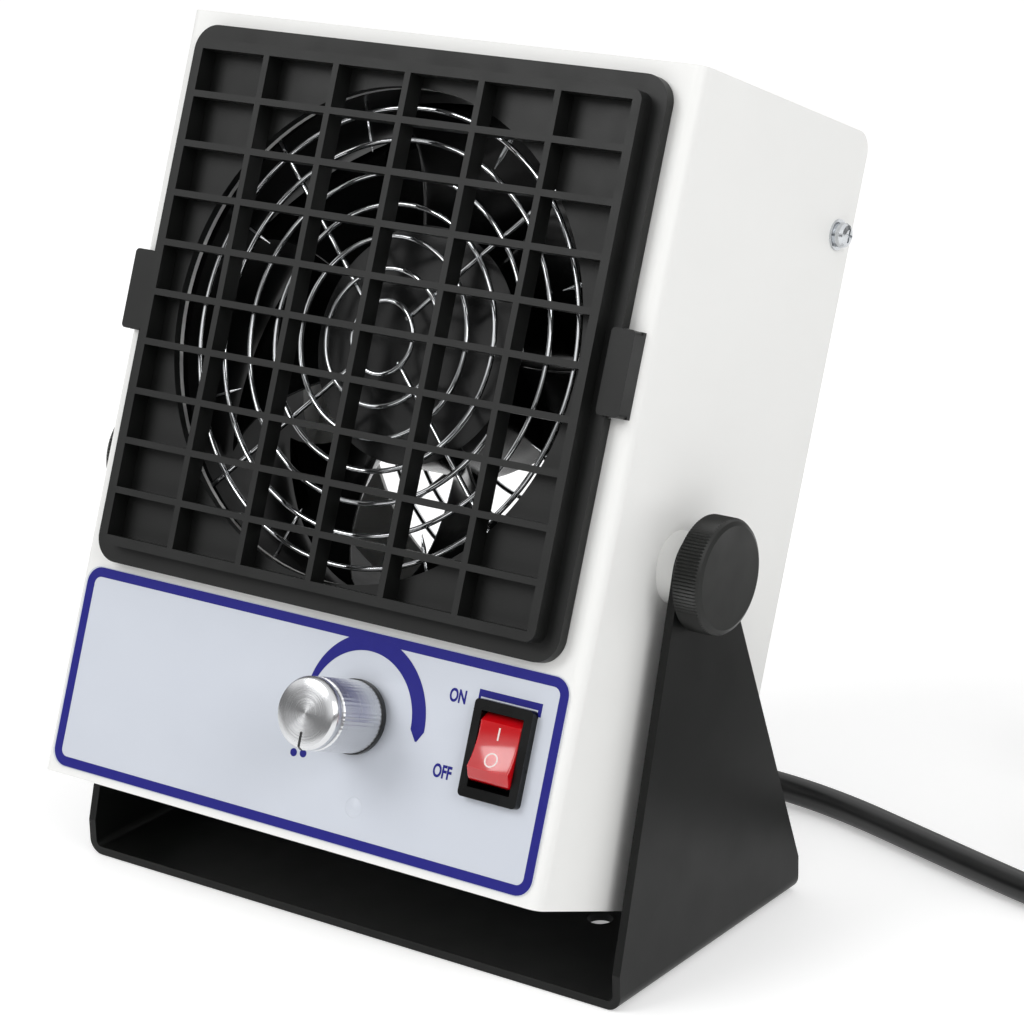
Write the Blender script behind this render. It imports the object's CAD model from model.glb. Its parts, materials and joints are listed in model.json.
"""Ionizing blower: finishes, printed marks, fan rotor, knob and mains lead.

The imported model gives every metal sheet, guard and moulding its place. This
file adds what a plain solid cannot show: the paint and plastic finishes, the
print on the control panel, a smooth rotor, a turned knob and the coiled lead.
Lengths are in metres, and places on the case are worked out from the fan's
own axis, so they follow the case's lean.
"""

import json
import math

import bmesh
import bpy
import numpy as np
from bpy.props import FloatProperty, FloatVectorProperty, IntProperty, PointerProperty
from mathutils import Matrix, Vector


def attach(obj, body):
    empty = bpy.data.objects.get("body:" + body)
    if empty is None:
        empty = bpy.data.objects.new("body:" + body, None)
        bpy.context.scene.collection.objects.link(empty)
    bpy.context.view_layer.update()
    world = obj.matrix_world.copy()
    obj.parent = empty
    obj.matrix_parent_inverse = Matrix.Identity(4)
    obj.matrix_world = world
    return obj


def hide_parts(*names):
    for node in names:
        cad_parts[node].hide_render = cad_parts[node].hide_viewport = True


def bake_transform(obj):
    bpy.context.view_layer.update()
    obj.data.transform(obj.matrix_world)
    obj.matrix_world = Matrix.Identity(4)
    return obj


bl_info = {
    "name": "Ionizing Blower",
    "version": (1, 0, 0),
    "blender": (4, 5, 0),
    "location": "3D View > Sidebar > Blower",
    "description": "Finishes, print, rotor, knob and lead of a benchtop ionizing blower",
    "category": "Add Mesh",
}

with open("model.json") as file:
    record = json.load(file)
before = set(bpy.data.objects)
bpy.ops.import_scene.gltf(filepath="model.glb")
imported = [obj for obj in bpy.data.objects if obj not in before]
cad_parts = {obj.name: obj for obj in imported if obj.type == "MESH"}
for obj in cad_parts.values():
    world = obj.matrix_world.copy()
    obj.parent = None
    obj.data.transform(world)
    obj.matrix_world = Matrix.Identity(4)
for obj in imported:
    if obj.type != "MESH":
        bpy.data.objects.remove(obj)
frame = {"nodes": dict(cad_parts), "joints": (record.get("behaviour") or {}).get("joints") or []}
NODES = frame["nodes"]
JOINTS = {joint["name"]: joint for joint in frame["joints"]}
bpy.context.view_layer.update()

MM = 0.001


# ---------------------------------------------------------------- places


def joint_line(name):
    """A joint's place and its axis of length one, as arrays."""
    axis = np.array(JOINTS[name]["axis"], float)
    return np.array(JOINTS[name]["pos_m"], float), axis / np.linalg.norm(axis)


FAN_PLACE, INWARD = joint_line("fan_spin")
SIDEWAYS = np.array([1.0, 0.0, 0.0])
UPWARD = np.cross(SIDEWAYS, INWARD)
FAN_IN_CASE = np.array([0.0, 33.0, 112.0]) * MM


def on_case(places):
    """Case places to the row frame. The case is measured sideways from its
    middle, inward from its front face and up from its bottom edge: the fan's
    place, plus each distance from the fan times its own direction."""
    d = np.asarray(places, float) - FAN_IN_CASE
    return FAN_PLACE + d[..., :1] * SIDEWAYS + d[..., 1:2] * INWARD + d[..., 2:3] * UPWARD


# ---------------------------------------------------------------- settings


class BlowerStageSettings(bpy.types.PropertyGroup):
    """Where the camera stands and how bright the studio is."""

    azimuth: FloatProperty(
        name="Azimuth", description="Camera's turn round the blower", subtype="ANGLE",
        default=math.radians(36.06),
    )
    elevation: FloatProperty(
        name="Elevation", description="Camera's height as an angle", subtype="ANGLE",
        default=math.radians(18.55),
    )
    roll: FloatProperty(
        name="Roll", description="Camera's tilt about its own axis", subtype="ANGLE",
        default=math.radians(-1.27),
    )
    distance: FloatProperty(
        name="Distance", description="Camera to target", unit="LENGTH", default=0.72971,
    )
    lens: FloatProperty(
        name="Lens", description="Focal length for a 36 mm wide sensor", default=115.05,
        min=20.0, max=300.0,
    )
    target: FloatVectorProperty(
        name="Target", description="Point that the camera looks at", unit="LENGTH", size=3,
        default=(0.02394, 0.00391, 0.09353),
    )
    ambient: FloatProperty(
        name="Ambient", description="Strength of the studio's overall light", default=0.62,
        min=0.0, max=2.0,
    )


class BlowerPrintSettings(bpy.types.PropertyGroup):
    """The print on the control panel."""

    ink: FloatVectorProperty(
        name="Ink", description="Colour of the screen-printed lines", subtype="COLOR",
        size=3, min=0.0, max=1.0, default=(0.13, 0.13, 0.50),
    )
    border: FloatProperty(
        name="Border", description="Width of the line round the panel", unit="LENGTH",
        default=2.2 * MM,
    )
    corner: FloatProperty(
        name="Corner", description="Outer corner radius of the line", unit="LENGTH",
        default=4.0 * MM,
    )
    letter_height: FloatProperty(
        name="Letter height", description="Height of ON and OFF", unit="LENGTH",
        default=3.0 * MM,
    )


class BlowerFanSettings(bpy.types.PropertyGroup):
    """The rotor's blades."""

    blades: IntProperty(name="Blades", description="Number of blades", default=7, min=3, max=11)
    thickness: FloatProperty(
        name="Thickness", description="Blade thickness at mid chord", unit="LENGTH",
        default=1.7 * MM,
    )


class BlowerKnobSettings(bpy.types.PropertyGroup):
    """The speed knob."""

    radius: FloatProperty(
        name="Radius", description="Radius over the flutes", unit="LENGTH", default=8.0 * MM,
    )
    length: FloatProperty(
        name="Length", description="Length from the panel side to the end", unit="LENGTH",
        default=18.0 * MM,
    )
    flutes: IntProperty(name="Flutes", description="Number of flutes", default=48, min=24, max=80)
    flute_depth: FloatProperty(
        name="Flute depth", description="Depth of a flute", unit="LENGTH", default=0.07 * MM,
    )


class BlowerLeadSettings(bpy.types.PropertyGroup):
    """The mains lead."""

    diameter: FloatProperty(
        name="Diameter", description="Outside diameter of the sheath", unit="LENGTH",
        default=6.8 * MM,
    )
    length: FloatProperty(
        name="Length", description="Length from the case to the plug", unit="LENGTH",
        default=1.485,
    )


# ---------------------------------------------------------------- materials


def linear(colour):
    """An sRGB hex string, or a triple of sRGB shares, as linear RGBA: the
    standard curve, a straight line near black and a 2.4 power above it."""
    if isinstance(colour, str):
        colour = [int(colour[i : i + 2], 16) / 255 for i in (1, 3, 5)]
    c = np.array(colour, float)
    c = np.where(c <= 0.04045, c / 12.92, ((c + 0.055) / 1.055) ** 2.4)
    return (*c.tolist(), 1.0)


def put(tree, kind, inputs=None, **settings):
    """Adds a node of that kind with its settings. Each input is a value, or
    another node's output that is linked to it."""
    made = tree.nodes.new(kind)
    for name, value in settings.items():
        setattr(made, name, value)
    for key, value in (inputs or {}).items():
        if isinstance(value, bpy.types.NodeSocket):
            tree.links.new(value, made.inputs[key])
        else:
            made.inputs[key].default_value = value
    return made


def begin(name, **sockets):
    """A new material with its shader's constant sockets set. Returns the
    material, its tree, its shader and the object coordinates."""
    material = bpy.data.materials.new(name)
    material.use_nodes = True
    tree = material.node_tree
    tree.nodes.clear()
    shader = put(tree, "ShaderNodeBsdfPrincipled", sockets)
    put(tree, "ShaderNodeOutputMaterial", {"Surface": shader.outputs["BSDF"]})
    place = put(tree, "ShaderNodeTexCoord").outputs["Object"]
    return material, tree, shader, place


def speckle(tree, place, size, detail=2.0):
    """Soft random values from 0 to 1 whose spots are about size across."""
    return put(
        tree, "ShaderNodeTexNoise", {"Vector": place, "Scale": 1.0 / size, "Detail": detail}
    ).outputs["Fac"]


def raised(tree, shader, height, depth):
    """Shows the values of height, from 0 to 1, as a surface that is depth high."""
    bump = put(tree, "ShaderNodeBump", {"Height": height, "Distance": depth, "Strength": 1.0})
    tree.links.new(bump.outputs["Normal"], shader.inputs["Normal"])


def spread(tree, shader, values, low, high, socket="Roughness"):
    """Sets a socket from low to high as the values go from 0.3 to 0.7."""
    span = put(
        tree, "ShaderNodeMapRange",
        {"Value": values, "From Min": 0.3, "From Max": 0.7, "To Min": low, "To Max": high},
    )
    tree.links.new(span.outputs["Result"], shader.inputs[socket])


def tint(tree, shader, values, dark, light):
    """Sets the base colour between two close colours as the values change."""
    mix = put(tree, "ShaderNodeMix", data_type="RGBA")
    sockets = [s for s in mix.inputs if s.type == "RGBA"]
    sockets[0].default_value = linear(dark)
    sockets[1].default_value = linear(light)
    tree.links.new(values, mix.inputs["Factor"])
    out = [s for s in mix.outputs if s.type == "RGBA"][0]
    tree.links.new(out, shader.inputs["Base Color"])


def powder_coat(name, dark, light, smooth, rough, pebble, ior=1.5):
    """Polyester powder sprayed on steel sheet and baked. It flows into low
    pebbles about a millimetre across, and is satin between them."""
    material, tree, shader, place = begin(name, IOR=ior)
    tint(tree, shader, speckle(tree, place, 40 * MM), dark, light)
    spread(tree, shader, speckle(tree, place, 12 * MM), smooth, rough)
    raised(tree, shader, speckle(tree, place, 1.1 * MM), pebble)
    return material


def moulded(name, dark, light, smooth, rough, grain, depth, ior=1.5):
    """Injection-moulded plastic. The tool's spark-eroded face leaves a fine
    even grain, and thicker places shine a little more."""
    material, tree, shader, place = begin(name, IOR=ior)
    tint(tree, shader, speckle(tree, place, 25 * MM), dark, light)
    spread(tree, shader, speckle(tree, place, 9 * MM), smooth, rough)
    raised(tree, shader, speckle(tree, place, grain, 3.0), depth)
    return material


def plated(name, colour, smooth, rough, mark):
    """Bright plated steel. The base metal's drawing or turning marks show
    through the thin plate as faint uneven gloss."""
    material, tree, shader, place = begin(name, **{"Metallic": 1.0, "Base Color": linear(colour)})
    spread(tree, shader, speckle(tree, place, mark), smooth, rough)
    raised(tree, shader, speckle(tree, place, mark / 3), 0.004 * MM)
    return material


def turned_aluminium():
    """Bar aluminium turned on a lathe and clear anodised. Fine rings run round
    the axis, so light spreads square to them in a bow: the tangent goes round
    the axis, and the quarter turn sets the spread across it. The rings are
    0.25 mm apart, which is coarser than the real feed, so that they show."""
    material, tree, shader, _ = begin(
        "turned_aluminium",
        **{
            "Metallic": 1.0, "Base Color": linear("#D3D4D6"), "Anisotropic": 0.9,
            "Anisotropic Rotation": 0.25,
        },
    )
    along = put(tree, "ShaderNodeUVMap", uv_map="turning").outputs["UV"]
    tangent = put(tree, "ShaderNodeTangent", direction_type="UV_MAP", uv_map="turning")
    tree.links.new(tangent.outputs["Tangent"], shader.inputs["Tangent"])
    rings = put(
        tree, "ShaderNodeMapping", {"Vector": along, "Scale": (2.0, 1 / (0.25 * MM), 1.0)}
    ).outputs["Vector"]
    feed = put(tree, "ShaderNodeTexNoise", {"Vector": rings, "Scale": 1.0, "Detail": 2.0})
    spread(tree, shader, feed.outputs["Fac"], 0.2, 0.28)
    raised(tree, shader, feed.outputs["Fac"], 0.0015 * MM)
    return material


def panel_film():
    """Polycarbonate film, printed pale grey blue on its back and hard coated
    on its front, so the colour lies under a thin even gloss."""
    material, tree, shader, place = begin(
        "panel_film", **{"IOR": 1.55, "Coat Weight": 0.25, "Coat Roughness": 0.15}
    )
    tint(tree, shader, speckle(tree, place, 30 * MM), "#C7CCD6", "#CCD1DA")
    spread(tree, shader, speckle(tree, place, 8 * MM), 0.3, 0.38)
    raised(tree, shader, speckle(tree, place, 0.7 * MM), 0.004 * MM)
    return material


def printing_ink(colour):
    """Screen-printed ink: a flat dense film with a faint mesh in its gloss."""
    material, tree, shader, place = begin("screen_ink", IOR=1.3)
    shade = [c * 0.93 for c in colour]
    tint(tree, shader, speckle(tree, place, 0.9 * MM), shade, list(colour))
    spread(tree, shader, speckle(tree, place, 3 * MM), 0.35, 0.45)
    return material


def red_lens():
    """Translucent red polycarbonate, polished in the tool: light goes in, is
    scattered and comes back deeper red, and the surface mirrors the room."""
    material, tree, shader, place = begin(
        "red_polycarbonate",
        **{
            "IOR": 1.58, "Subsurface Weight": 0.6, "Subsurface Scale": 1.5 * MM,
            "Subsurface Radius": (1.0, 0.12, 0.1), "Coat Weight": 0.3, "Coat Roughness": 0.04,
        },
    )
    tint(tree, shader, speckle(tree, place, 5 * MM), "#B2060F", "#C60C17")
    spread(tree, shader, speckle(tree, place, 4 * MM), 0.1, 0.18)
    return material


def lead_sheath():
    """Extruded PVC sheath: satin black with faint draw lines along its length,
    0.8 mm apart, which is coarser than real ones so that they show."""
    material, tree, shader, _ = begin("pvc_sheath", IOR=1.5)
    along = put(tree, "ShaderNodeUVMap", uv_map="length").outputs["UV"]
    lines = put(
        tree, "ShaderNodeMapping", {"Vector": along, "Scale": (12.0, 1 / (0.8 * MM), 1.0)}
    ).outputs["Vector"]
    draw = put(tree, "ShaderNodeTexNoise", {"Vector": lines, "Scale": 1.0, "Detail": 2.0})
    tint(tree, shader, draw.outputs["Fac"], "#070808", "#0D0E0E")
    spread(tree, shader, draw.outputs["Fac"], 0.3, 0.42)
    raised(tree, shader, draw.outputs["Fac"], 0.01 * MM)
    return material


def dress(nodes, material):
    """Gives CAD nodes a finish in their own material slots."""
    for name in nodes:
        for place in NODES[name].material_slots:
            place.material = material


# ---------------------------------------------------------------- meshes


def mesh_piece(name, points, faces, material, smooth=True):
    """A mesh object at the origin from points and faces."""
    mesh = bpy.data.meshes.new(name)
    mesh.from_pydata(np.asarray(points, float).reshape(-1, 3).tolist(), [], faces)
    mesh.polygons.foreach_set("use_smooth", np.full(len(mesh.polygons), smooth))
    mesh.materials.append(material)
    mesh.update()
    piece = bpy.data.objects.new(name, mesh)
    bpy.context.scene.collection.objects.link(piece)
    return piece


def grid_faces(rows, columns, wrap=True, start=0):
    """Faces of a grid of points, row by row: each joins a point to the next in
    its row and to the same two in the next row. A wrapped row closes on itself."""
    across = np.arange(columns if wrap else columns - 1)
    i, j = np.meshgrid(np.arange(rows - 1), across, indexing="ij")
    k = (j + 1) % columns
    a, b = start + i * columns + j, start + i * columns + k
    return np.stack([a, b, b + columns, a + columns], -1).reshape(-1, 4).tolist()


def capped(points, start=0):
    """Faces of a grid of closed rows, with its first and last row filled in."""
    rows, columns = points.shape[:2]
    first = (start + np.arange(columns))[::-1].tolist()
    last = (start + (rows - 1) * columns + np.arange(columns)).tolist()
    return grid_faces(rows, columns, True, start) + [first, last]


def outward(piece):
    """Recalculates a closed piece's face directions so that they point outwards."""
    shape = bmesh.new()
    shape.from_mesh(piece.data)
    bmesh.ops.recalc_face_normals(shape, faces=shape.faces)
    shape.to_mesh(piece.data)
    shape.free()
    return piece


def rounded_outline(width, height, radius, steps=10):
    """Corners of a rounded rectangle about the origin: a quarter circle of the
    radius at each corner, anticlockwise."""
    a = np.linspace(0, math.pi / 2, steps)
    quarter = [(sx, sy, a + turn) for sx, sy, turn in (
        (1, 1, 0), (-1, 1, math.pi / 2), (-1, -1, math.pi), (1, -1, 1.5 * math.pi))]
    x = np.concatenate([sx * (width / 2 - radius) + radius * np.cos(t) for sx, sy, t in quarter])
    y = np.concatenate([sy * (height / 2 - radius) + radius * np.sin(t) for sx, sy, t in quarter])
    return np.stack([x, y], -1)


def printed_band(outer, inner, face, thick):
    """A flat printed band between two outlines with the same number of points.
    Its section is a thin rectangle carried round: outer and inner edge on the
    film, then inner and outer edge one ink's thickness above it."""
    n = len(outer)
    low, high = np.full(n, face), np.full(n, face - thick)
    edges = ((outer, low), (outer, high), (inner, high), (inner, low))
    return np.stack([np.stack([edge[:, 0], depth, edge[:, 1]], -1) for edge, depth in edges])


def band_faces(n, closed):
    """Faces of a printed band of n steps: four long sides, and two ends where
    the band is open."""
    j = np.arange(n if closed else n - 1)
    k = (j + 1) % n
    sides = []
    for a in range(4):
        b = (a + 1) % 4
        sides += np.stack([a * n + j, a * n + k, b * n + k, b * n + j], -1).tolist()
    ends = [] if closed else [[0, n, 2 * n, 3 * n], [4 * n - 1, 3 * n - 1, 2 * n - 1, n - 1]]
    return sides + ends


# ---------------------------------------------------------------- mains lead

# The lead's route over the bench, in millimetres
RUN = np.array([
    [22, 47.74, 17.26], [22, 52, 15.6], [22.6, 58, 13.2], [25, 64.5, 10.9], [29.5, 71, 8.7],
    [36, 76.6, 6.8], [44, 80.4, 5.2], [53, 82, 4], [62, 81.4, 3.5], [72, 79.2, 3.4],
    [84, 75.6, 3.4], [97, 71.6, 3.4], [110, 67.6, 3.4], [123, 63.8, 3.4], [136, 60.8, 3.4],
    [148, 59.2, 3.4], [160, 58.5, 3.4], [170, 58.3, 3.4],
])
COIL_PLACE = np.array([178.0, 103.0])
COIL_TURNS = 5.125
COIL_STEPS = 24
COIL_RADIUS = 44.8
LEAD_ACROSS = 6.8
SHEATH_ROUND = 21.4 * MM
# The last stretch leaves the top turn and rises to the plug that lies on the
# coil: its way about the coil's middle, and its first and last height. Its
# last point is inside the plug.
TAIL = np.array([
    [31.7, -31.7], [38, -23.7], [42.3, -14.4], [43.6, -4.4], [41.8, 5.7], [37.1, 14.6],
    [29.8, 21.7], [20.7, 26.3], [10.6, 27.9], [4.6, 27.9],
])
TAIL_RISE = (10.2, 24.6)


def smooth_step(x, low, high):
    """0 before low, 1 after high, and an even ease between them."""
    t = np.clip((x - low) / (high - low), 0, 1)
    return t * t * (3 - 2 * t)


def coil_route(steps):
    """The coil, wound anticlockwise from the front: two and a half turns inward
    on the bench, then the rest outward on top of them. The radius and height
    step by one diameter within a short part of a turn, each step where its
    neighbour lets it by."""
    turn = np.linspace(0, COIL_TURNS, steps)
    inner = smooth_step(turn, 0.7, 1) + smooth_step(turn, 1.7, 2)
    outer = smooth_step(turn, 3.4, 3.7) + smooth_step(turn, 4.4, 4.7)
    radius = COIL_RADIUS - LEAD_ACROSS * inner + LEAD_ACROSS * outer
    height = LEAD_ACROSS * (0.5 + smooth_step(turn, 2.5, 2.8))
    angle = 2 * math.pi * turn - math.pi / 2
    return np.stack([
        COIL_PLACE[0] + radius * np.cos(angle), COIL_PLACE[1] + radius * np.sin(angle), height,
    ], -1)


def tail_route():
    """The tail's points: its way about the coil, and a height that eases
    evenly from the top turn's to the plug's."""
    share = smooth_step(np.arange(len(TAIL)), 0, len(TAIL) - 2)
    height = TAIL_RISE[0] + (TAIL_RISE[1] - TAIL_RISE[0]) * share
    return np.concatenate([COIL_PLACE + TAIL, height[:, None]], 1)


def curve_through(points, steps):
    """A Catmull-Rom curve: each stretch between two points is a cubic whose
    slope at a point is half the way between that point's two neighbours."""
    p = np.concatenate([points[:1], points, points[-1:]])
    t = np.linspace(0, 1, steps, endpoint=False)[None, :, None]
    a, b, c, d = (p[i : len(p) - 3 + i, None] for i in range(4))
    bend, twist = 2 * a - 5 * b + 4 * c - d, 3 * b - a - 3 * c + d
    curve = 0.5 * (2 * b + (c - a) * t + bend * t**2 + twist * t**3)
    return np.concatenate([curve.reshape(-1, 3), points[-1:]])


def tube(path, radius, sides):
    """Rings of points square to a path. The first ring direction is level and
    across the path, the second square to it, and each ring is their circle
    of the radius."""
    ahead = np.gradient(path, axis=0)
    ahead = ahead / np.linalg.norm(ahead, axis=1, keepdims=True)
    across = np.cross(ahead, [0.0, 0.0, 1.0])
    across = across / np.linalg.norm(across, axis=1, keepdims=True)
    over = np.cross(across, ahead)
    a = np.linspace(0, 2 * math.pi, sides, endpoint=False)
    radius = np.broadcast_to(radius, len(path))[:, None, None]
    ring = across[:, None] * np.cos(a)[:, None] + over[:, None] * np.sin(a)[:, None]
    return path[:, None] + radius * ring


def ring_map(piece, name, path, columns, measure):
    """A UV map for a piece made of rings of points along a path. measure turns
    the way along the path in metres and the share of the way round into the
    two values. The face that closes a ring ends at a share of 1, not at 0."""
    way = np.concatenate([[0], np.cumsum(np.linalg.norm(np.diff(path, axis=0), axis=1))])
    mesh = piece.data
    layer = mesh.uv_layers.new(name=name)
    vertex = np.zeros(len(mesh.loops), int)
    mesh.loops.foreach_get("vertex_index", vertex)
    starts = np.zeros(len(mesh.polygons), int)
    sizes = np.zeros(len(mesh.polygons), int)
    mesh.polygons.foreach_get("loop_start", starts)
    mesh.polygons.foreach_get("loop_total", sizes)
    owner = np.repeat(np.arange(len(starts)), sizes)
    column = vertex % columns
    widest = np.maximum.reduceat(column, starts)[owner]
    closing = (widest == columns - 1) & (column == 0) & (sizes[owner] == 4)
    share = np.where(closing, columns, column) / columns
    uv = np.stack(measure(way[vertex // columns], share), -1)
    layer.data.foreach_set("uv", uv.reshape(-1).astype(np.float32))


class BLOWER_OT_lead(bpy.types.Operator):
    """Adds the mains lead from the case to its plug, and finishes what is on it"""

    bl_idname = "blower.lead"
    bl_label = "Mains lead"

    def execute(self, context):
        settings = context.scene.blower_lead
        sheath = lead_sheath()
        way = np.concatenate([RUN, coil_route(int(COIL_TURNS * COIL_STEPS) + 1)[:-1], tail_route()])
        route = curve_through(way, 6) * MM
        sides = 24
        rings = tube(route, settings.diameter / 2, sides)
        lead = mesh_piece("mains_lead", rings, capped(rings), sheath)
        ring_map(lead, "length", route, sides, lambda along, share: (along, share * SHEATH_ROUND))
        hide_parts("cord_lead", "cord_run", "cord_coil", "cord_tail")
        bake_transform(lead)
        dress(
            ["strain_relief"],
            moulded("flexible_pvc", "#141515", "#191A1A", 0.38, 0.48, 0.6 * MM, 0.008 * MM),
        )
        dress(
            ["plug_body"],
            moulded("plug_pvc", "#141515", "#1A1B1B", 0.34, 0.46, 0.7 * MM, 0.01 * MM),
        )
        dress(["plug_pins"], plated("nickel_brass", "#CFCBBE", 0.16, 0.28, 2 * MM))
        dress(
            ["cord_tie"],
            moulded("tie_nylon", "#1E1F1F", "#242525", 0.4, 0.5, 0.8 * MM, 0.01 * MM),
        )
        return {"FINISHED"}


# ---------------------------------------------------------------- sheet metal


class BLOWER_OT_sheet_metal(bpy.types.Operator):
    """Paints the case and the stand"""

    bl_idname = "blower.sheet_metal"
    bl_label = "Case and stand"

    def execute(self, context):
        dress(
            ["front_shell", "rear_cover"],
            powder_coat("white_powder_coat", "#E9E9E7", "#EEEEEC", 0.4, 0.48, 0.006 * MM),
        )
        dress(
            ["stand_bracket"],
            powder_coat(
                "black_powder_coat", "#090A09", "#0E0F0E", 0.34, 0.42, 0.008 * MM, ior=1.31
            ),
        )
        return {"FINISHED"}


class BLOWER_OT_hardware(bpy.types.Operator):
    """Finishes the screws, washers, nuts, studs, tilt knobs and spacers"""

    bl_idname = "blower.hardware"
    bl_label = "Screws and tilt knobs"

    def execute(self, context):
        zinc = plated("bright_zinc_plate", "#C9CCCF", 0.16, 0.3, 1.5 * MM)
        dress(
            ["cover_screws", "screw_washers", "weld_nuts", "fan_nuts", "rear_guard_screws",
             "tilt_stud_left", "tilt_stud_right", "pot_nut", "pot_shaft"], zinc,
        )
        dress(["fan_bolts"], plated("black_oxide_steel", "#2A2A2B", 0.35, 0.5, 1.5 * MM))
        dress(
            ["tilt_knob_left", "tilt_knob_right"],
            moulded(
                "knob_thermoset", "#121311", "#171816", 0.38, 0.5, 0.5 * MM, 0.012 * MM, ior=1.4
            ),
        )
        dress(
            ["spacer_left", "spacer_right"],
            moulded("spacer_nylon", "#E2E2E0", "#E9E9E7", 0.5, 0.6, 0.6 * MM, 0.008 * MM),
        )
        return {"FINISHED"}


# ---------------------------------------------------------------- grille and fan


class BLOWER_OT_grille(bpy.types.Operator):
    """Finishes the grille, the wire guards and the emitter ring"""

    bl_idname = "blower.grille"
    bl_label = "Grille and guards"

    def execute(self, context):
        dress(
            ["grille_base", "grille_cover"],
            moulded("grille_abs", "#0B0C0B", "#101110", 0.4, 0.5, 0.5 * MM, 0.012 * MM, ior=1.4),
        )
        dress(["front_guard", "rear_guard"], plated("chromed_wire", "#D4D6D8", 0.08, 0.14, 3 * MM))
        dress(
            ["emitter_ring"],
            moulded("emitter_nylon", "#0C0D0D", "#111212", 0.35, 0.45, 0.6 * MM, 0.01 * MM),
        )
        dress(
            ["emitter_needles", "fan_shaft", "fan_bearings"],
            plated("ground_steel", "#C4C6C8", 0.12, 0.24, 1.2 * MM),
        )
        dress(
            ["guard_washers", "board_posts"],
            moulded("natural_nylon", "#C9C7BC", "#D6D4CA", 0.45, 0.55, 0.8 * MM, 0.01 * MM),
        )
        return {"FINISHED"}


HUB_RADIUS = 27 * MM
DUCT_RADIUS = 57.5 * MM
TIP_GAP = 1.2 * MM
HUB_FRONT = 15.2 * MM
HUB_LENGTH = 28.5 * MM
BOW = 7 * MM
HUB_PITCH = 52.0
BLADE_TWIST = 30.0
FIRST_BLADE = math.radians(8)


def blade_section(radius, around, thick):
    """Points of a blade's closed section at some radii. The chord is pitched
    52 degrees at the hub and 22 at the tip; the camber is a parabola that is
    highest at mid chord, and the two skins leave it by a half thickness that
    falls towards the rounded edges. The section is then wrapped round the
    axis at its radius."""
    share = (radius - HUB_RADIUS) / (DUCT_RADIUS - HUB_RADIUS)
    pitch = np.radians(HUB_PITCH - BLADE_TWIST * share)[:, None]
    chord = 2 * (HUB_LENGTH / 2 - 1.8 * MM) / np.sin(pitch) * 0.98
    s = 0.5 * np.cos(around)[None]
    skin = np.sign(np.sin(around)) * np.abs(np.sin(around)) ** 0.5
    along = s * chord
    lift = skin[None] * thick / 2 * (1 - 1.6 * s * s) + BOW * (0.25 - s * s)
    turn = (along * np.cos(pitch) - lift * np.sin(pitch)) / radius[:, None]
    depth = along * np.sin(pitch) + lift * np.cos(pitch)
    return turn, depth


class BLOWER_OT_rotor(bpy.types.Operator):
    """Adds the smooth rotor blades and finishes the fan's frame and hub"""

    bl_idname = "blower.rotor"
    bl_label = "Fan rotor"

    def execute(self, context):
        settings = context.scene.blower_fan
        sides, stations = 40, 16
        radius = np.linspace(HUB_RADIUS - 1 * MM, DUCT_RADIUS - TIP_GAP, stations)
        around = np.linspace(0, 2 * math.pi, sides, endpoint=False)
        turn, depth = blade_section(radius, around, settings.thickness)
        points, faces = [], []
        for blade in range(settings.blades):
            a = turn + FIRST_BLADE + 2 * math.pi * blade / settings.blades
            place = np.stack([
                radius[:, None] * np.sin(a),
                HUB_FRONT + HUB_LENGTH / 2 + depth,
                radius[:, None] * np.cos(a) + FAN_IN_CASE[2],
            ], -1)
            faces += capped(place, start=blade * sides * stations)
            points.append(on_case(place))
        black = moulded("blade_pbt", "#090A0A", "#0E0F0F", 0.14, 0.22, 2.5 * MM, 0.01 * MM)
        blades = outward(mesh_piece("rotor_blades", np.concatenate(points), faces, black))
        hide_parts("fan_blades")
        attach(blades, "rotor")
        dress(["fan_hub"], black)
        dress(
            ["fan_frame"],
            moulded("fan_frame_pbt", "#0B0C0C", "#101111", 0.28, 0.4, 0.7 * MM, 0.01 * MM),
        )
        dress(["fan_stator"], plated("enamelled_copper", "#A3552C", 0.25, 0.4, 0.5 * MM))
        return {"FINISHED"}


# ---------------------------------------------------------------- control panel

PANEL_FACE = -0.4 * MM
INK_THICK = 0.05 * MM


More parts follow.
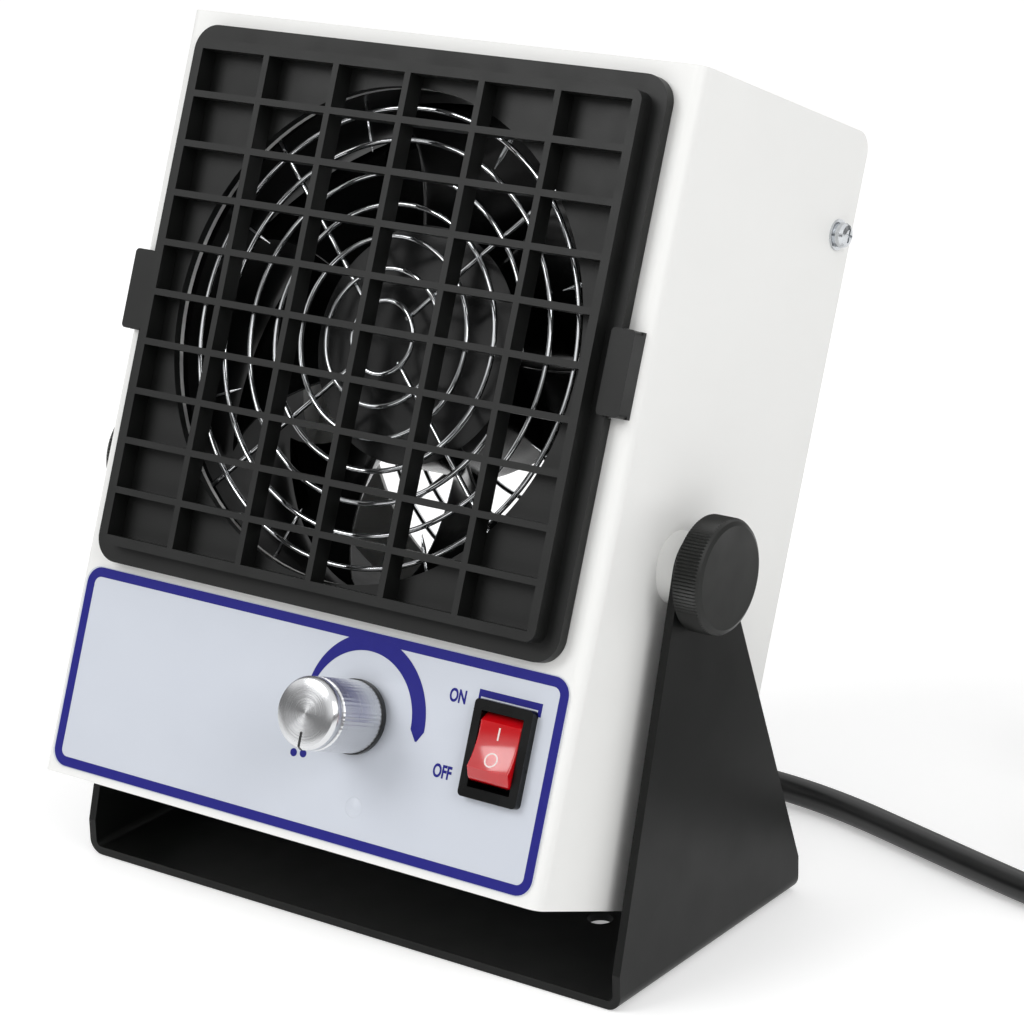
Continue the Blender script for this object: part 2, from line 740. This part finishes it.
class BLOWER_OT_print(bpy.types.Operator):
    """Adds the printed border, speed scale, dots and the words ON and OFF"""

    bl_idname = "blower.print"
    bl_label = "Panel print"

    def execute(self, context):
        settings = context.scene.blower_print
        dress(["control_label"], panel_film())
        ink = printing_ink(settings.ink)
        middle = np.array([0.25, 25.3]) * MM
        width, height = 135.1 * MM, 46.6 * MM
        outer = rounded_outline(width, height, settings.corner) + middle
        inner = rounded_outline(
            width - 2 * settings.border, height - 2 * settings.border,
            max(settings.corner - settings.border, 0.3 * MM)
        ) + middle
        self.band("panel_border", outer, inner, True, ink)
        # The speed scale starts thin at the left and is full width from the top round.
        angle = np.radians(np.linspace(160, 0, 64))
        wide = np.interp(angle, np.radians([0, 100, 160]), [17.8, 17.8, 15.6])
        centre = np.array([15.8, 30.3])
        ring = np.stack([np.cos(angle), np.sin(angle)], -1)
        outer_arc = np.concatenate([centre + wide[:, None] * ring, [[32.1, 27.9]]]) * MM
        inner_arc = np.concatenate([centre + 14.2 * ring, [[31.7, 27.9]]]) * MM
        self.band("speed_scale", outer_arc, inner_arc, False, ink, over=True)
        for index, (x, up) in enumerate(((0.5, 18.9), (3.1, 19.2))):
            a = np.linspace(0, 2 * math.pi, 24, endpoint=False)
            dot = np.stack([x + 0.9 * np.cos(a), up + 0.9 * np.sin(a)], -1) * MM
            hole = np.stack([x + 0.02 * np.cos(a), up + 0.02 * np.sin(a)], -1) * MM
            self.band(f"scale_dot_{index + 1}", dot, hole, True, ink)
        outer_bar = np.array([[45.6, 39.6], [45.6, 42.3], [61.9, 42.3], [61.9, 39.4]]) * MM
        inner_bar = np.array([[46.2, 39.6], [46.2, 40.8], [61.0, 40.8], [61.0, 39.4]]) * MM
        self.band("switch_bar", outer_bar, inner_bar, False, ink)
        self.word("word_on", "ON", 40.4, 39.7, settings.letter_height, ink)
        self.word("word_off", "OFF", 40.2, 23.2, settings.letter_height, ink)
        return {"FINISHED"}

    def band(self, name, outer, inner, closed, ink, over=False):
        """Adds one printed band on the film, or over another one."""
        face = PANEL_FACE - (0.03 if over else 0.01) * MM
        rows = printed_band(outer, inner, face, INK_THICK)
        piece = mesh_piece(name, on_case(rows), band_faces(len(outer), closed), ink, smooth=False)
        outward(piece)
        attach(piece, "case")

    def word(self, name, text, x, up, height, ink):
        """Adds a printed word, centred sideways and upwards at its place."""
        curve = bpy.data.curves.new(name, "FONT")
        curve.body = text
        curve.size = 1.0
        curve.extrude = 0.01
        curve.offset = 0.03
        draft = bpy.data.objects.new(name + "_draft", curve)
        bpy.context.scene.collection.objects.link(draft)
        bpy.context.view_layer.update()
        solved = draft.evaluated_get(bpy.context.evaluated_depsgraph_get())
        mesh = bpy.data.meshes.new_from_object(solved)
        bpy.data.objects.remove(draft)
        flat = np.zeros(len(mesh.vertices) * 3)
        mesh.vertices.foreach_get("co", flat)
        flat = flat.reshape(-1, 3)
        low, high = flat.min(0), flat.max(0)
        size = height / (high[1] - low[1])
        flat = (flat - (low + high) / 2) * size
        thick = np.sign(flat[:, 2]) * INK_THICK / 2
        place = np.stack([
            flat[:, 0] * 0.7 + x * MM, PANEL_FACE - 0.01 * MM - INK_THICK / 2 - thick,
            flat[:, 1] + up * MM,
        ], -1)
        mesh.vertices.foreach_set("co", on_case(place).reshape(-1))
        mesh.materials.clear()
        mesh.materials.append(ink)
        mesh.update()
        piece = bpy.data.objects.new(name, mesh)
        bpy.context.scene.collection.objects.link(piece)
        outward(piece)
        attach(piece, "case")


KNOB_PLACE = np.array([16.0, -1.8, 30.0]) * MM


class BLOWER_OT_knob(bpy.types.Operator):
    """Adds the turned and fluted speed knob with its pointer"""

    bl_idname = "blower.knob"
    bl_label = "Speed knob"

    def execute(self, context):
        settings = context.scene.blower_knob
        steps = settings.flutes * 8
        radius, length = settings.radius, settings.length
        groove = length - 3.2 * MM
        # Way along the knob, radius there, and the share of the flutes' depth
        r, g, n = radius / MM, groove / MM, length / MM
        profile = np.array([
            [0.8, 4.0, 0], [0.8, r - 0.5, 0], [0.8, r - 0.15, 1], [0.95, r, 1], [g - 0.35, r, 1],
            [g - 0.05, r - 0.3, 0.6], [g, r - 0.6, 0], [g + 0.5, r - 0.6, 0],
            [g + 0.62, r - 0.2, 0], [g + 0.8, r - 0.05, 0], [n - 1.1, r - 0.05, 0],
            [n - 0.95, r - 0.1, 0],
            [n - 0.1, r - 0.62, 0], [n, r - 0.75, 0], [n, 5.2, 0], [n, 3.4, 0], [n, 1.6, 0],
            [n, 0.5, 0], [n, 0.02, 0],
        ]) * [MM, MM, 1]
        a = np.linspace(0, 2 * math.pi, steps, endpoint=False)
        flute = 0.5 - 0.5 * np.cos(a * settings.flutes)
        reach = profile[:, 1:2] - settings.flute_depth * profile[:, 2:3] * flute**1.5
        place = np.stack([
            KNOB_PLACE[0] + reach * np.cos(a),
            np.broadcast_to(KNOB_PLACE[1] - profile[:, :1], reach.shape),
            KNOB_PLACE[2] + reach * np.sin(a),
        ], -1)
        metal = turned_aluminium()
        knob = mesh_piece("turned_knob", on_case(place), capped(place), metal)
        ring_map(knob, "turning", profile[:, :2], steps, lambda along, share: (share, along))
        outward(knob)
        knob.data.set_sharp_from_angle(angle=math.radians(40))
        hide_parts("speed_knob")
        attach(knob, "dial")
        end = KNOB_PLACE[1] - length
        x, up = KNOB_PLACE[0], KNOB_PLACE[2]
        half, lift = 0.3 * MM, 0.04 * MM
        # The pointer's paint lies on the end face, over its bevel and down the side.
        side_up = up - radius + 0.02 * MM - lift
        line = np.array([
            [end - lift, up - 4.1 * MM], [end - lift, up - radius + 0.7 * MM],
            [end + 1.0 * MM, side_up], [end + 2.3 * MM, side_up],
        ])
        under = line + [[0.3 * MM, 0], [0.3 * MM, 0.2 * MM], [0, 0.4 * MM], [0, 0.4 * MM]]
        loops = []
        for side in (-half, half):
            loops.append(np.stack([np.full(4, x + side), line[:, 0], line[:, 1]], -1))
            loops.append(np.stack([np.full(4, x + side), under[:, 0], under[:, 1]], -1))
        rows = np.stack([loops[0], loops[2], loops[3], loops[1]])
        paint = moulded("pointer_paint", "#101112", "#17181A", 0.35, 0.45, 0.5 * MM, 0.002 * MM)
        pointer = mesh_piece(
            "knob_pointer", on_case(rows), band_faces(4, False), paint, smooth=False
        )
        outward(pointer)
        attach(pointer, "dial")
        dress(
            ["knob_collar"],
            moulded("collar_abs", "#0C0D0D", "#121313", 0.3, 0.4, 0.5 * MM, 0.008 * MM, ior=1.42),
        )
        return {"FINISHED"}


SWITCH_X = 53.8 * MM
CONTROLS_UP = 30 * MM
ROCKER_AXIS = 3.0 * MM
ROCKER_VALLEY = -2.807 * MM
ROCKER_HOLLOW = 18.2 * MM
ROCKER_TURN = math.radians(11)
ROCKER_WIDTH = 10.6 * MM
ROCKER_EDGE = np.array([-1.8, 7.42]) * MM
ROCKER_FOOT = np.array([-0.3, 7.56]) * MM
ROCKER_HEEL = np.array([5.0, 3.5]) * MM


def turned_rocker(x, inward, up):
    """Places on the rocker, given square to the panel, turned about the
    rocker's axis to where they are at rest."""
    reach = inward - ROCKER_AXIS
    y = ROCKER_AXIS + reach * math.cos(ROCKER_TURN) + up * math.sin(ROCKER_TURN)
    z = CONTROLS_UP + up * math.cos(ROCKER_TURN) - reach * math.sin(ROCKER_TURN)
    return on_case(np.stack(np.broadcast_arrays(SWITCH_X + x, y, z), -1))


def rocker_outline():
    """The rocker's section, inward and up: its hollow face is an arc, a flat
    bevel at each end runs from the arc into the end face by a quadratic curve
    whose middle point is the bevel's corner, and the foot and heel close it."""
    up = np.linspace(-5.1, 5.1, 33) * MM
    face = np.stack([ROCKER_VALLEY - ROCKER_HOLLOW + np.sqrt(ROCKER_HOLLOW**2 - up**2), up], -1)
    t = np.linspace(0, 1, 6)[:, None]
    before = ROCKER_EDGE + 0.25 * (face[-1] - ROCKER_EDGE)
    after = ROCKER_EDGE + 0.35 * (ROCKER_FOOT - ROCKER_EDGE)
    bend = (1 - t) ** 2 * before + 2 * t * (1 - t) * ROCKER_EDGE + t**2 * after
    top = np.concatenate([bend, [ROCKER_FOOT], [ROCKER_HEEL]])
    return np.concatenate([face, top, (top * [1, -1])[::-1]])


class BLOWER_OT_switch(bpy.types.Operator):
    """Finishes the rocker switch and adds its two marks"""

    bl_idname = "blower.switch"
    bl_label = "Rocker switch"

    def execute(self, context):
        dress(
            ["switch_body"],
            moulded(
                "switch_nylon", "#060707", "#0A0B0B", 0.24, 0.34, 0.9 * MM, 0.005 * MM, ior=1.34
            ),
        )
        dress(["switch_tabs"], plated("bare_brass", "#C9A64E", 0.25, 0.4, 1.2 * MM))
        self.lens()
        mark = moulded("pad_print_white", "#E6D3D0", "#F0E0DD", 0.4, 0.5, 0.4 * MM, 0.001 * MM)
        bar = np.array([[-0.2, 1.35], [0.2, 1.35], [0.2, -1.35], [-0.2, -1.35]]) * MM
        self.mark("mark_on", bar, bar * [0.04, 0.5], 2.95 * MM, mark)
        a = np.linspace(0, 2 * math.pi, 40, endpoint=False)
        ring = np.stack([np.cos(a), np.sin(a)], -1) * MM
        self.mark("mark_off", 1.65 * ring, 1.3 * ring, -2.75 * MM, mark)
        return {"FINISHED"}

    def lens(self):
        """Adds the rocker with its edges rounded: the section is carried along
        the rocker's axis, and drawn in along its own normals near each side."""
        outline = rocker_outline()
        ahead = np.roll(outline, -1, 0) - np.roll(outline, 1, 0)
        normal = np.stack([-ahead[:, 1], ahead[:, 0]], -1)
        normal = normal / np.linalg.norm(normal, axis=1, keepdims=True)
        normal = normal * np.sign(((outline.mean(0) - outline) * normal).sum(1).mean())
        half = ROCKER_WIDTH / 2
        stations = np.array([
            [-half, 0.45], [-half + 0.06 * MM, 0.2], [-half + 0.2 * MM, 0.06],
            [-half + 0.45 * MM, 0],
        ])
        stations = np.concatenate([stations, (stations * [-1, 1])[::-1]])
        rows = outline[None] + stations[:, 1, None, None] * MM * normal[None]
        place = turned_rocker(stations[:, :1], rows[..., 0], rows[..., 1])
        lens = outward(mesh_piece("rocker_lens", place, capped(place), red_lens()))
        lens.data.set_sharp_from_angle(angle=math.radians(35))
        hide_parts("switch_rocker")
        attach(lens, "rocker")

    def mark(self, name, outer, inner, along, ink):
        """Adds a mark on the rocker's hollow face. The face is an arc round a
        line in front of it: a point's way up the face over the hollow's radius
        is its angle there, and a lift of the ink shortens that radius."""
        low, high = 0.004 * MM, 0.03 * MM
        rows = []
        for shape, lift in ((outer, low), (outer, high), (inner, high), (inner, low)):
            angle = (along + shape[:, 1]) / ROCKER_HOLLOW
            reach = ROCKER_HOLLOW - lift
            inward = ROCKER_VALLEY - ROCKER_HOLLOW + reach * np.cos(angle)
            rows.append(turned_rocker(shape[:, 0], inward, reach * np.sin(angle)))
        piece = mesh_piece(name, np.stack(rows), band_faces(len(outer), True), ink, smooth=False)
        outward(piece)
        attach(piece, "rocker")


LAMP_PLACE = np.array([19.2, 10.7]) * MM
LAMP_RADIUS = 2.2 * MM
LAMP_RISE = 0.25 * MM


class BLOWER_OT_electrics(bpy.types.Operator):
    """Finishes the lamp, the speed control and the board inside the case"""

    bl_idname = "blower.electrics"
    bl_label = "Electrics"

    def execute(self, context):
        self.lamp_window()
        dress(["speed_pot"], plated("stamped_plate", "#8D908E", 0.3, 0.42, 1.5 * MM))
        dress(
            ["control_board"],
            moulded("solder_resist", "#11482B", "#185735", 0.2, 0.3, 1.5 * MM, 0.01 * MM),
        )
        dress(
            ["hv_transformer"],
            moulded("potting_resin", "#151B2A", "#1C2333", 0.15, 0.25, 3 * MM, 0.03 * MM),
        )
        return {"FINISHED"}

    def lamp_window(self):
        """Adds the low dome that the film is pressed into over the lamp. Its
        height falls from the middle as one less the square of the share of
        its radius, squared, so it runs out flat into the film."""
        a = np.linspace(0, 2 * math.pi, 48, endpoint=False)
        share = np.linspace(1, 0.02, 14)[:, None]
        height = np.concatenate([[[-0.05 * MM]], LAMP_RISE * (1 - share**2) ** 2])
        share = np.concatenate([[[1.0]], share])
        place = np.stack([
            LAMP_PLACE[0] + LAMP_RADIUS * share * np.cos(a),
            np.broadcast_to(PANEL_FACE - height, (15, 48)),
            LAMP_PLACE[1] + LAMP_RADIUS * share * np.sin(a),
        ], -1)
        window = mesh_piece(
            "lamp_window", on_case(place), capped(place), bpy.data.materials["panel_film"]
        )
        outward(window)
        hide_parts("status_lamp")
        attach(window, "case")


# ---------------------------------------------------------------- stage


class BLOWER_OT_stage(bpy.types.Operator):
    """Sets the camera, the pale floor, the soft lights and the background"""

    bl_idname = "blower.stage"
    bl_label = "Stage"

    def execute(self, context):
        settings = context.scene.blower_stage
        scene = context.scene
        az, el, roll = settings.azimuth, settings.elevation, settings.roll
        back = np.array([
            math.sin(az) * math.cos(el), -math.cos(az) * math.cos(el), math.sin(el)
        ])
        right = np.array([math.cos(az), math.sin(az), 0.0])
        over = np.cross(back, right)
        side = right * math.cos(roll) + over * math.sin(roll)
        top = over * math.cos(roll) - right * math.sin(roll)
        place = np.array(settings.target) + settings.distance * back
        data = bpy.data.cameras.new("camera")
        data.lens, data.sensor_width = settings.lens, 36.0
        data.clip_start, data.clip_end = 0.05, 50.0
        camera = bpy.data.objects.new("camera", data)
        scene.collection.objects.link(camera)
        camera.matrix_world = Matrix([
            [side[0], top[0], back[0], place[0]], [side[1], top[1], back[1], place[1]],
            [side[2], top[2], back[2], place[2]], [0, 0, 0, 1],
        ])
        scene.camera = camera
        scene.view_settings.view_transform = "Standard"
        self.floor()
        self.world(scene, settings.ambient)
        self.lamp("key_light", (-0.9, -1.3, 1.5), 1.0, 16.0)
        self.lamp("side_light", (1.6, -0.5, 1.1), 1.0, 12.0)
        return {"FINISHED"}

    def floor(self):
        """A wide pale sheet under the stand."""
        size, under = 6.0, -0.0002
        material, tree, shader, place = begin("pale_floor", **{"IOR": 1.3, "Roughness": 0.9})
        tint(tree, shader, speckle(tree, place, 0.4), "#F6F6F6", "#F8F8F8")
        ray = put(tree, "ShaderNodeLightPath")
        seen = put(
            tree, "ShaderNodeMath",
            {0: ray.outputs["Is Camera Ray"], 1: ray.outputs["Is Glossy Ray"]}, operation="MAXIMUM",
        )
        lit = put(tree, "ShaderNodeEmission", {"Color": (1, 1, 1, 1), "Strength": 0.3})
        both = put(tree, "ShaderNodeAddShader", {0: shader.outputs[0], 1: lit.outputs[0]})
        mix = put(
            tree, "ShaderNodeMixShader",
            {"Fac": seen.outputs[0], 1: shader.outputs[0], 2: both.outputs[0]},
        )
        out = next(node for node in tree.nodes if node.type == "OUTPUT_MATERIAL")
        tree.links.new(mix.outputs[0], out.inputs["Surface"])
        corners = [
            [-size, -size, under], [size, -size, under], [size, size, under], [-size, size, under],
        ]
        sheet = mesh_piece("floor", corners, [[0, 1, 2, 3]], material, smooth=False)

    def world(self, scene, strength):
        """A white studio that gives soft light from all round. Mirrored, it is
        white overhead and falls to grey towards the horizon, where the walls
        are out of the lamps' reach."""
        world = bpy.data.worlds.new("studio")
        world.use_nodes = True
        tree = world.node_tree
        tree.nodes.clear()
        ray = put(tree, "ShaderNodeLightPath")
        place = put(tree, "ShaderNodeTexCoord").outputs["Generated"]
        height = put(tree, "ShaderNodeSeparateXYZ", {"Vector": place}).outputs["Z"]
        wall = put(
            tree, "ShaderNodeMapRange",
            {"Value": height, "From Min": 0.2, "From Max": 0.42, "To Min": 0.22, "To Max": 1.1},
            interpolation_type="SMOOTHSTEP",
        ).outputs["Result"]
        soft = put(tree, "ShaderNodeBackground", {"Color": (1, 1, 1, 1), "Strength": strength})
        room = put(tree, "ShaderNodeBackground", {"Color": (1, 1, 1, 1), "Strength": wall})
        white = put(tree, "ShaderNodeBackground", {"Color": (1, 1, 1, 1), "Strength": 1.0})
        glossy = ray.outputs["Is Glossy Ray"]
        mirrored = put(
            tree, "ShaderNodeMixShader", {"Fac": glossy, 1: soft.outputs[0], 2: room.outputs[0]}
        )
        seen = put(
            tree, "ShaderNodeMath",
            {0: ray.outputs["Is Camera Ray"], 1: ray.outputs["Is Transmission Ray"]},
            operation="MAXIMUM",
        )
        mix = put(
            tree, "ShaderNodeMixShader",
            {"Fac": seen.outputs[0], 1: mirrored.outputs[0], 2: white.outputs[0]},
        )
        put(tree, "ShaderNodeOutputWorld", {"Surface": mix.outputs[0]})
        scene.world = world

    def lamp(self, name, place, size, power):
        """A square soft box that faces the blower."""
        data = bpy.data.lights.new(name, "AREA")
        data.size, data.energy = size, power
        lamp = bpy.data.objects.new(name, data)
        lamp.location = place
        aim = Vector((0, 0, 0.1)) - Vector(place)
        lamp.rotation_euler = aim.to_track_quat("-Z", "Y").to_euler()
        bpy.context.scene.collection.objects.link(lamp)


# ---------------------------------------------------------------- sidebar


class BLOWER_PT_sidebar(bpy.types.Panel):
    """Lists the blower's steps and settings"""

    bl_idname = "BLOWER_PT_sidebar"
    bl_label = "Ionizing Blower"
    bl_space_type = "VIEW_3D"
    bl_region_type = "UI"
    bl_category = "Blower"

    def draw(self, context):
        for group, names in GROUPS:
            box = self.layout.box()
            settings = getattr(context.scene, group)
            for name in names:
                box.prop(settings, name)
        for step in STEPS:
            self.layout.operator(step.bl_idname)


GROUPS = (
    ("blower_stage", ("azimuth", "elevation", "roll", "distance", "lens", "target", "ambient")),
    ("blower_lead", ("diameter", "length")),
    ("blower_fan", ("blades", "thickness")),
    ("blower_knob", ("radius", "length", "flutes", "flute_depth")),
    ("blower_print", ("ink", "border", "corner", "letter_height")),
)
STEPS = (
    BLOWER_OT_stage, BLOWER_OT_lead, BLOWER_OT_sheet_metal, BLOWER_OT_hardware,
    BLOWER_OT_grille, BLOWER_OT_rotor, BLOWER_OT_print, BLOWER_OT_knob,
    BLOWER_OT_switch, BLOWER_OT_electrics,
)
SETTINGS = {
    "blower_stage": BlowerStageSettings, "blower_lead": BlowerLeadSettings,
    "blower_fan": BlowerFanSettings, "blower_knob": BlowerKnobSettings,
    "blower_print": BlowerPrintSettings,
}


def register():
    for name, group in SETTINGS.items():
        bpy.utils.register_class(group)
        setattr(bpy.types.Scene, name, PointerProperty(type=group))
    for step in STEPS + (BLOWER_PT_sidebar,):
        bpy.utils.register_class(step)


def unregister():
    for step in (BLOWER_PT_sidebar,) + STEPS[::-1]:
        bpy.utils.unregister_class(step)
    for name, group in SETTINGS.items():
        delattr(bpy.types.Scene, name)
        bpy.utils.unregister_class(group)


def main():
    register()
    bpy.ops.blower.stage()
    bpy.ops.blower.lead()
    bpy.ops.blower.sheet_metal()
    bpy.ops.blower.hardware()
    bpy.ops.blower.grille()
    bpy.ops.blower.rotor()
    bpy.ops.blower.print()
    bpy.ops.blower.knob()
    bpy.ops.blower.switch()
    bpy.ops.blower.electrics()


if __name__ == "__main__":
    main()
